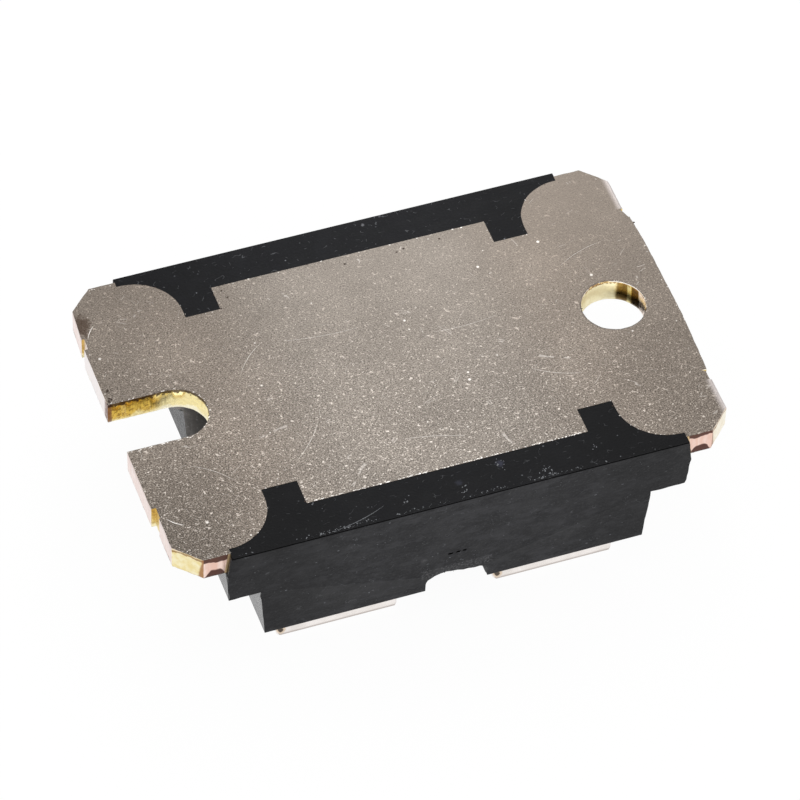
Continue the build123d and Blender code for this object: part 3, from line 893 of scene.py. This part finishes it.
def make_housing():
    """Moulded body with crisp parting edges, ragged lower ends and a little flash."""
    bm = copy_of("housing")

    def outside(edge):
        centre = middle(edge)
        sealed = abs(centre.x) < 9.6 and abs(centre.y) < 9.2 and centre.z > 4.6
        on_plate = centre.z > PLATE_INNER - 0.3 and abs(centre.y) < SIDE_Y + 0.02
        return is_sharp(edge) and not sealed and not on_plate

    def in_recess(face):
        centre = face.calc_center_median()
        near_axis = Vector((abs(centre.x) - MOUNTING_X, centre.y)).length < RECESS_RADIUS + 0.5
        on_end = abs(face.normal.x) >= 0.97 and abs(centre.x) >= 12.0
        return near_axis and abs(face.normal.z) < 0.3 and not on_end

    for across in RECESS_CUTS:
        for end in ENDS.values():
            walls = [face for face in bm.faces if in_recess(face)]
            cut_faces(bm, walls, (end * across, 0.0, 0.0), (1.0, 0.0, 0.0))
    for side in (-1.0, 1.0):
        flat = [face for face in bm.faces if abs(face.calc_center_median().x) > 12.3]
        flat = [face for face in flat if abs(face.normal.x) > 0.9 or face.normal.z < -0.9]
        cut_faces(bm, flat, (0.0, side * (HOUSING_Y - END_BORDER), 0.0), (0.0, 1.0, 0.0))
    divide_long(bm, EDGE_STEP, outside)
    mark_curved(bm)
    soften(bm, EDGE_BEVEL, lambda edge: outside(edge) and edge.calc_length() > 0.06)
    for vert in bm.verts:
        point = vert.co
        if -13.5 < point.x < -12.6 and point.z < 7.6:
            vert.co.x -= TOWER_END_SHIFT
        on_side = abs(point.y) > HOUSING_Y - 0.5
        across = Vector((abs(point.x) - MOUNTING_X, point.y)).length
        if across < RECESS_RADIUS + 0.15 and abs(point.x) > 10.5:
            flare = min(1.0, max(0.0, (abs(point.x) - 12.9) / 2.2))
            flare *= flare * (3.0 - 2.0 * flare)
            if abs(point.y) > 2.5:
                vert.co.y += math.copysign(RECESS_FLARE * flare, point.y)
            continue
        if not on_side or point.z > BASE_FACE - 0.15:
            continue
        at_end = 1.5 if abs(point.x) > 12.4 else 0.25
        shift = wobble(point, 1.1, 5.2) * 0.06 + wobble(point, 3.4, 1.3) * 0.05
        lift = 0.8 if 6.5 < point.z < 8.2 else 0.0
        vert.co += Vector((shift.x * at_end, shift.y * 0.1, shift.z * lift))
    for vert in bm.verts:
        point = vert.co
        if abs(point.x) < CHANNEL_HALF + 0.2 and 3.2 < point.z < 4.7 and abs(point.y) > 11.0:
            hump = max(0.0, 1.0 - abs(point.x + 0.7) / 1.5)
            vert.co.z += 0.3 * hump + 0.12 * noise.noise(point * 1.9)
    for vert in bm.verts:
        vert.co.z = min(vert.co.z, BASE_FACE - RAIL_DROP)
        if vert.co.y > 11.2:
            vert.co.y -= REAR_SHIFT
        vert.co.y = max(SIDE_MARGIN - HOUSING_Y, min(HOUSING_Y - SIDE_MARGIN, vert.co.y))
    for face in bm.faces:
        is_rail = face.normal.z > 0.8 and face.calc_center_median().z > BASE_FACE - 0.1
        is_end = abs(face.calc_center_median().x) > 10.5 and abs(face.normal.x) > 0.6
        plane = abs(face.normal.x) > 0.99 or face.normal.z < -0.99
        face.smooth = in_recess(face) or (face.smooth and not plane)
        face.material_index = 0 if is_rail else 3 if in_recess(face) else 2 if is_end else 1
    finishes = [rail_epoxy, wall_epoxy, end_epoxy, lit_recess_epoxy]
    finish_piece(bm, "moulded_housing", finishes, ("housing",))


# ---------------------------------------------------------------- terminals and nuts
TAB_ROUNDING = 0.06
NUT_ROUNDING = 0.08


def make_softened(cad_node, name, material, width):
    """A CAD piece with its sharp edges rounded."""
    bm = copy_of(cad_node)
    mark_curved(bm)
    soften(bm, width, lambda edge: is_sharp(edge) and edge.calc_length() > 2 * width)
    lowest = box_mm(cad_node)[0].z
    for vert in bm.verts:
        vert.co.z = max(vert.co.z, lowest)
    finish_piece(bm, name, [material], (cad_node,))


# ---------------------------------------------------------------- burrs, dust and scratches
def add_chip(bm, place, size, turn):
    """Small irregular faceted chip; size holds its three half lengths."""
    turned = Matrix.Translation(place) @ Matrix.Rotation(turn, 4, "Z")
    matrix = turned @ Matrix.Diagonal((*size, 1.0))
    made = bmesh.ops.create_icosphere(bm, subdivisions=1, radius=1.0, matrix=matrix)
    for vert in made["verts"]:
        shake = wobble(vert.co, 9.0, turn) * 0.35
        vert.co += Vector((shake.x * size[0], shake.y * size[1], 0.0))


def add_thread(bm, controls, width, lift):
    """Thin raised line along a smooth curve through three control points."""
    first, bend, last = (Vector(point) for point in controls)
    rows = []
    for step in range(15):
        t = step / 14
        point = first * (1 - t) ** 2 + bend * 2 * t * (1 - t) + last * t ** 2
        along = ((bend - first) * (1 - t) + (last - bend) * t).normalized()
        side = Vector((-along.y, along.x, 0.0)) * width * (0.35 + 0.65 * math.sin(math.pi * t)) / 2
        corners = (point + side, point - side, point + Vector((0.0, 0.0, lift)))
        rows.append([bm.verts.new(corner) for corner in corners])
    for before, after in zip(rows, rows[1:]):
        for near, far in ((0, 1), (1, 2), (2, 0)):
            bm.faces.new((before[near], before[far], after[far], after[near]))
    bm.faces.new(rows[0][::-1])
    bm.faces.new(rows[-1])


def rim_points(step):
    """Points a step apart along the outline of the CAD plate's base face, with its openings."""
    bm = copy_of("base_plate")
    points = []
    for edge in bm.edges:
        if on_base_face(edge) and is_sharp(edge):
            length = edge.calc_length()
            count = max(1, round(length / step))
            start, end = (vert.co.copy() for vert in edge.verts)
            points += [start.lerp(end, (index + 0.5) / count) for index in range(count)]
    bm.free()
    return sorted(points, key=lambda point: (round(point.x, 3), round(point.y, 3)))


# Dark pits, as offsets from one by the slot's far corner and as places along the far rail.
SLOT_PITS = ((0.0, 0.0), (0.12, -0.12), (-0.08, -0.3), (-0.1, -0.2), (0.06, 0.62), (0.1, 0.7))
FAR_RAIL_PITS = ((3.1, 8.95), (3.65, 9.1), (6.2, 9.2), (-9.0, 9.3), (-8.8, 8.6), (-0.5, 9.0))


def make_burrs():
    """Bright burrs and burnt crumbs along the plate's rims and where the moulding meets it."""
    rng = random.Random(7)
    bright, burnt = bmesh.new(), bmesh.new()
    for point in rim_points(0.12):
        on_slot = in_opening(point, 0.05) and point.x < 0
        on_hole = in_opening(point, 0.05) and point.x > 0
        moulded = abs(point.x) < housing_high.x - 0.2
        straight = moulded and abs(point.x) < 9.2
        right_lug = point.x > END_X - 0.7 and abs(point.y) > NOTCH_INNER
        if right_lug or abs(point.x) > END_X - 0.45 and point.y > NOTCH_INNER:
            continue
        inward = Vector((-math.copysign(0.05, point.x), -math.copysign(0.05, point.y), 0.0))
        if on_slot and point.x < -MOUNTING_X:
            inward = Vector((0.0, math.copysign(0.05, point.y), 0.0))
        elif on_slot or on_hole:
            across = Vector((point.x - math.copysign(MOUNTING_X, point.x), point.y, 0.0))
            inward = across.normalized() * 0.05
        elif straight:
            inward = Vector((0.0, -math.copysign(0.03, point.y), 0.0))
        elif not moulded:
            inward *= 2.2
        share = 0.14
        if on_slot:
            share = 0.3
        elif on_hole:
            share = 0.3 if point.x > MOUNTING_X + 0.7 else 0.12
        elif moulded:
            share = 0.5 if straight and point.y < 0 else 0.06
        big = 1.6 if on_slot or straight else 1.0
        if rng.random() < share:
            place = Vector((point.x, point.y, BASE_FACE - 0.012)) + inward * rng.uniform(0.5, 2.2)
            length, width = rng.uniform(0.02, 0.07) * big, rng.uniform(0.015, 0.03) * big
            size = (length, width, rng.uniform(0.004, 0.009))
            add_chip(bright, place, size, rng.uniform(-0.6, 0.9))
        if rng.random() < (0.8 if on_slot and point.y > 0 else 0.12 if on_slot else 0.02):
            place = Vector((point.x, point.y, BASE_FACE - 0.014)) + inward * rng.uniform(0.3, 1.6)
            size = (rng.uniform(0.05, 0.17), rng.uniform(0.03, 0.07), rng.uniform(0.004, 0.008))
            add_chip(burnt, place, size, rng.uniform(-0.4, 0.4))
    pit = Vector((-END_X + 0.3, MOUNTING_RADIUS + 0.5, BASE_FACE - 0.012))
    for offset in SLOT_PITS:
        add_chip(burnt, pit + Vector((*offset, 0.0)), (0.12, 0.1, 0.009), offset[0] * 9)
    for place in FAR_RAIL_PITS:
        add_chip(burnt, Vector((*place, BASE_FACE - 0.012)), (0.11, 0.08, 0.009), place[0])
    finish_piece(bright, "rim_burrs", [matt["glinting_burr"]])
    finish_piece(burnt, "burnt_crumbs", [matt["burnt_crumb"]])


def make_scratches_on_plate():
    """A few deeper scratches in the nickel, standing up as bright lines."""
    bm = bmesh.new()
    z = BASE_FACE - FACE_DROP - 0.002
    lines = (
        ((-18.4, -8.2), (-18.0, -8.8), (-17.5, -9.0), 0.07),
        ((-18.55, 8.0), (-18.35, 8.5), (-17.9, 8.95), 0.06),
        ((-8.0, 4.1), (-9.3, 3.3), (-10.1, 1.9), 0.03),
        ((-2.0, -6.6), (0.2, -6.9), (1.9, -7.6), 0.035),
        ((-9.0, -6.2), (-7.5, -5.0), (-6.6, -3.4), 0.03),
        ((3.0, 1.5), (5.0, 1.2), (7.5, 1.6), 0.025),
        ((8.0, -3.5), (9.2, -4.5), (11.0, -4.9), 0.03),
        ((-6.5, 3.8), (-4.0, 3.3), (-1.5, 3.4), 0.025),
        ((13.0, 4.4), (14.5, 5.4), (16.3, 5.6), 0.025),
        ((-15.6, -4.5), (-14.2, -5.2), (-13.4, -6.4), 0.03),
    )
    for first, bend, last, width in lines:
        add_thread(bm, ((*first, z), (*bend, z), (*last, z)), width, 0.009)
    finish_piece(bm, "plate_scratches", [matt["glinting_burr"]])


# Dust along the near rail's outer edge: x, reach, count; and its clumps: x, y, count.
EDGE_DUST = (
    (-9.6, 1.2, 30), (-7.4, 1.6, 44), (-14.4, 0.5, 7), (-3.2, 1.6, 22),
    (1.5, 3.0, 32), (5.8, 1.6, 50), (11.0, 3.0, 8),
)
RAIL_DUST = (
    (3.2, -10.5, 9), (-9.3, -9.8, 5), (5.9, -12.1, 16),
    (-3.6, -11.4, 6), (9.5, -10.9, 4), (0.4, -11.9, 8),
)


def make_dust():
    """Pale dust and a hair scratch on the rails."""
    rng = random.Random(21)
    bm = bmesh.new()
    z = BASE_FACE - RAIL_DROP
    hair = [(x, y, z - 0.002) for x, y in ((-8.4, -12.45), (-6.6, -12.25), (-5.0, -11.5))]
    add_thread(bm, hair, 0.055, 0.012)
    outer = HOUSING_Y - 0.12
    for clump, reach, count in EDGE_DUST:
        for _ in range(count):
            x = rng.gauss(clump, reach * 0.6)
            if abs(x) < 15.2:
                size = 0.012 + 0.04 * rng.random() ** 2
                place = Vector((x, -outer + abs(rng.gauss(0.0, 0.12)), z))
                add_chip(bm, place, (size * rng.uniform(1.0, 1.8), size, 0.009), rng.uniform(0, 3))
    for x, y, count in RAIL_DUST:
        for _ in range(count):
            place = Vector((rng.gauss(x, 0.22), rng.gauss(y, 0.22), z))
            size = rng.uniform(0.02, 0.05)
            add_chip(bm, place, (size * 1.5, size, 0.008), rng.uniform(0, 3))
    finish_piece(bm, "rail_dust", [matt["pale_dust"]])


def make_side_crumbs():
    """Light crumbs on the front long side, with three short voids over the channel as black painted
    shade.
    """
    rng = random.Random(5)
    pale, dark, body = bmesh.new(), bmesh.new(), copy_of("housing")
    tree = BVHTree.FromBMesh(body)
    body.free()

    def on_side(x, z):
        """Where the front long side lies at x and z, or nothing where it is cut away."""
        start = Vector((x, -2 * HOUSING_Y, z))
        found = tree.ray_cast(start, Vector((0.0, 1.0, 0.0)), HOUSING_Y * 1.1)[0]
        return found if found and found.y < -HOUSING_Y + 1.0 else None

    for _ in range(95):
        place = on_side(rng.uniform(-12.5, 12.5), rng.uniform(3.4, 11.2))
        size = 0.008 + 0.05 * rng.random() ** 3
        if place:
            add_chip(pale, place + Vector((0.0, 0.004, 0.0)), (size * 2.0, 0.012, size), 0.0)
    for _ in range(60):
        place = on_side(rng.gauss(0.2, 1.3), rng.gauss(5.0, 0.45))
        size = 0.01 + 0.04 * rng.random() ** 2
        if place:
            add_chip(pale, place + Vector((0.0, 0.004, 0.0)), (size * 1.6, 0.014, size), 0.0)
    # Painted shade: three near black patches stand for the shade inside small voids of the
    # moulding.
    for x, width in ((-0.55, 0.22), (-0.02, 0.19), (0.4, 0.16)):
        add_chip(dark, on_side(x, 6.4), (width, 0.02, 0.09), 0.0)
    finish_piece(pale, "side_crumbs", [matt["grey_crumb"]])
    finish_piece(dark, "side_void_painted_shade", [matt["void_painted_shade"]])


make_burrs()
make_scratches_on_plate()
make_dust()
make_side_crumbs()
make_base_plate()
make_housing()
for side in SIDES:
    for end in ENDS:
        corner = f"{side}_{end}"
        make_softened(
            f"{corner}_terminal", f"{corner}_tab", tab_plating, TAB_ROUNDING
        )
        make_softened(
            f"{corner}_nut", f"{corner}_captive_nut", nut_zinc, NUT_ROUNDING
        )

INNER_FINISHES = {
    "copper": "copper_track",
    "solder": "solder",
    "alumina": "alumina",
    "chip_metal": "chip_metal",
    "wire_aluminium": "wire_metal",
}
for entry in frame["record"]["subparts"]:
    if entry["material_slot"] in INNER_FINISHES:
        mesh = NODES[entry["node"]].data
        mesh.materials.clear()
        mesh.materials.append(matt[INNER_FINISHES[entry["material_slot"]]])


# ---------------------------------------------------------------- floor, light and camera
FLOOR_HALF = 3.0
FLOOR_GAP = 0.01
FLOOR_GLOW = 1.06


def make_floor():
    """Large white floor just under the terminals, bright to the camera, clear from below."""
    bm = bmesh.new()
    bmesh.ops.create_grid(bm, x_segments=1, y_segments=1, size=FLOOR_HALF)
    mesh = bpy.data.meshes.new("floor")
    bmesh.ops.translate(bm, vec=(0.0, 0.0, cad_low.z - FLOOR_GAP * MM), verts=bm.verts)
    bm.to_mesh(mesh)
    bm.free()
    floor = bpy.data.objects.new("floor", mesh)
    bpy.context.scene.collection.objects.link(floor)
    material = bpy.data.materials.new("white_floor")
    material.use_nodes = True
    tree = material.node_tree
    tree.nodes.clear()
    paper = node(tree, "ShaderNodeBsdfDiffuse", {"Color": (0.8, 0.8, 0.8, 1.0)}).outputs[0]
    links = {"Color": (1.0, 1.0, 1.0, 1.0), "Strength": FLOOR_GLOW}
    glow = node(tree, "ShaderNodeEmission", links).outputs[0]
    seen = seen_directly(tree)
    share = times(seen, 0.9)
    mixed = node(tree, "ShaderNodeMixShader", {0: share, 1: paper, 2: glow}).outputs[0]
    clear = node(tree, "ShaderNodeBsdfTransparent").outputs[0]
    below = node(tree, "ShaderNodeNewGeometry").outputs["Backfacing"]
    one_sided = node(tree, "ShaderNodeMixShader", {0: below, 1: mixed, 2: clear}).outputs[0]
    node(tree, "ShaderNodeOutputMaterial", {"Surface": one_sided})
    mesh.materials.append(material)


def seen_directly(tree):
    """1 for rays from the camera, off polished surfaces and through clear ones, else 0."""
    path = node(tree, "ShaderNodeLightPath").outputs
    glossy = larger(path["Is Glossy Ray"], path["Is Transmission Ray"])
    return larger(path["Is Camera Ray"], glossy)


AMBIENT = 0.55


def make_world():
    """White surroundings: full white where seen, a plain level where they light the object."""
    world = bpy.data.worlds.new("studio")
    world.use_nodes = True
    tree = world.node_tree
    tree.nodes.clear()
    strength = plus(AMBIENT, times(seen_directly(tree), 1.0 - AMBIENT))
    links = {"Color": (1.0, 1.0, 1.0, 1.0), "Strength": strength}
    back = node(tree, "ShaderNodeBackground", links).outputs[0]
    node(tree, "ShaderNodeOutputWorld", {"Surface": back})
    bpy.context.scene.world = world


def add_softbox(name, toward, distance, width, height, radiance):
    """Lamp of the given edges, distance away from the base face, facing it."""
    data = bpy.data.lights.new(name, "AREA")
    data.shape = "RECTANGLE"
    data.size = width * MM
    data.size_y = height * MM
    data.energy = radiance * math.pi * width * height * MM * MM
    lamp = bpy.data.objects.new(name, data)
    direction = Vector(toward).normalized()
    lamp.location = (Vector((0.0, 0.0, BASE_FACE)) + direction * distance) * MM
    lamp.rotation_euler = direction.to_track_quat("Z", "Y").to_euler()
    lamp.visible_camera = False
    bpy.context.scene.collection.objects.link(lamp)


CAMERA_AZIMUTH = 20.995
CAMERA_ELEVATION = 48.711
CAMERA_ROLL = 1.992
CAMERA_DISTANCE = 337.96
CAMERA_TARGET = Vector((-1.033, -3.418, BASE_FACE))
FOCAL_LENGTH = 235.5
SENSOR_WIDTH = 36.0


def add_camera():
    """Long lens looking down on the base face from the front left."""
    angles = (CAMERA_AZIMUTH, CAMERA_ELEVATION, CAMERA_ROLL)
    azimuth, elevation, roll = (math.radians(angle) for angle in angles)
    level = math.cos(elevation)
    forward = Vector((math.sin(azimuth) * level, math.cos(azimuth) * level, -math.sin(elevation)))
    right = Vector((math.cos(azimuth), -math.sin(azimuth), 0.0))
    up = right.cross(forward)
    turned_right = right * math.cos(roll) + up * math.sin(roll)
    turned_up = up * math.cos(roll) - right * math.sin(roll)
    axes = Matrix((turned_right, turned_up, -forward)).transposed().to_4x4()
    data = bpy.data.cameras.new("camera")
    data.sensor_width = SENSOR_WIDTH
    data.lens = FOCAL_LENGTH
    data.clip_start = 0.01
    data.clip_end = 10.0
    camera = bpy.data.objects.new("camera", data)
    place = (CAMERA_TARGET - forward * CAMERA_DISTANCE) * MM
    camera.matrix_world = Matrix.Translation(place) @ axes
    bpy.context.scene.collection.objects.link(camera)
    bpy.context.scene.camera = camera


make_floor()
make_world()
add_softbox(
    "overhead_strip", (0.27, 0.63, 0.75), distance=90.0, width=30.0, height=90.0, radiance=1.35
)
add_softbox(
    "front_fill", (-0.35, -0.9, 0.35), distance=300.0, width=220.0, height=220.0, radiance=0.8
)
add_camera()
bpy.context.scene.view_settings.view_transform = "Standard"
